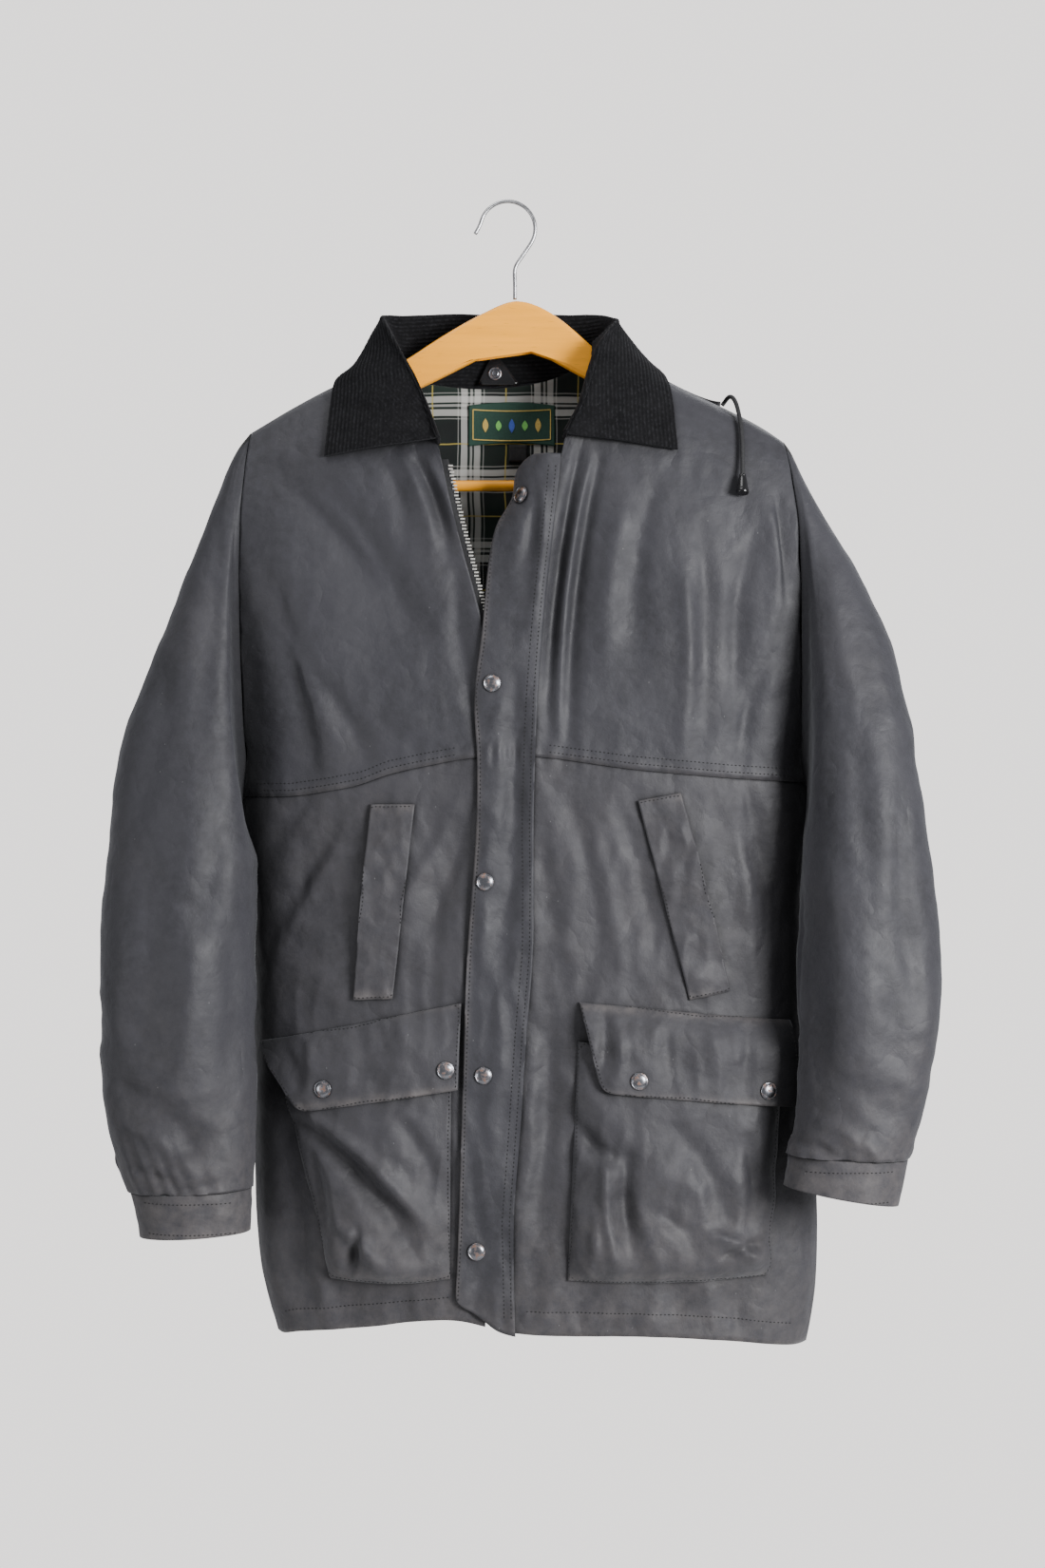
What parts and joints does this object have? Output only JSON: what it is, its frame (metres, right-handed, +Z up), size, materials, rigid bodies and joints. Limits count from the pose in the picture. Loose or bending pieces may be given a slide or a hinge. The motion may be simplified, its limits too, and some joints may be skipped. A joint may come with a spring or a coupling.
{
  "type": "waxed cotton jacket on a hanger",
  "caption": "Hip-length waxed cotton jacket with corduroy collar, storm flap, bellows pockets and a hood hanging behind, on a wooden coat hanger.",
  "frame": {"origin": "underside of the hanger hook's crown, where a peg or rail carries it", "axes": "+X to the right of someone facing the jacket's front, +Y from its front to its back, +Z up"},
  "size_m": [0.723, 0.1986, 1.0095],
  "materials": {
    "hanger_wood": "clear satin varnish",
    "hook_steel": "dull drawn wire",
    "waxed_cotton": "dull waxed sheen",
    "waxed_cotton_worn": "dull wax, rubbed brownish at the edges",
    "corduroy": "ribbed pile",
    "zip_tape": "matt woven",
    "plaid_lining": "soft brushed weave",
    "woven_label": "fine weave",
    "black_tape": "smooth",
    "drawcord": "braided",
    "cord_end": "glossy",
    "snap_metal": "nickel with rusty patches"
  },
  "bodies": {
    "root": {"hanger_arms": "hanger_wood", "hanger_bar": "hanger_wood", "hanger_hook": "hook_steel", "back": "waxed_cotton", "upper_front_left": "waxed_cotton", "upper_front_right": "waxed_cotton", "sleeve_left_front": "waxed_cotton", "sleeve_left_back": "waxed_cotton", "sleeve_right_front": "waxed_cotton", "sleeve_right_back": "waxed_cotton", "storm_flap": "waxed_cotton", "hood": "waxed_cotton", "lower_front_left": "waxed_cotton_worn", "lower_front_right": "waxed_cotton_worn", "cuff_left": "waxed_cotton_worn", "cuff_right": "waxed_cotton_worn", "pocket_bag_left": "waxed_cotton_worn", "pocket_bag_right": "waxed_cotton_worn", "pocket_flap_left": "waxed_cotton_worn", "pocket_flap_right": "waxed_cotton_worn", "welt_left": "waxed_cotton_worn", "welt_right": "waxed_cotton_worn", "collar": "corduroy", "zip_tape_left": "zip_tape", "zip_tape_right": "zip_tape", "back_lining": "plaid_lining", "neck_label": "woven_label", "size_loop": "black_tape", "collar_tab": "black_tape", "drawcord": "drawcord", "drawcord_end": "cord_end", "snap_front_1": "snap_metal", "snap_front_2": "snap_metal", "snap_front_3": "snap_metal", "snap_front_4": "snap_metal", "snap_front_5": "snap_metal", "snap_tab": "snap_metal", "snap_pocket_left_outer": "snap_metal", "snap_pocket_left_inner": "snap_metal", "snap_pocket_right_inner": "snap_metal", "snap_pocket_right_outer": "snap_metal"}
  },
  "joints": []
}
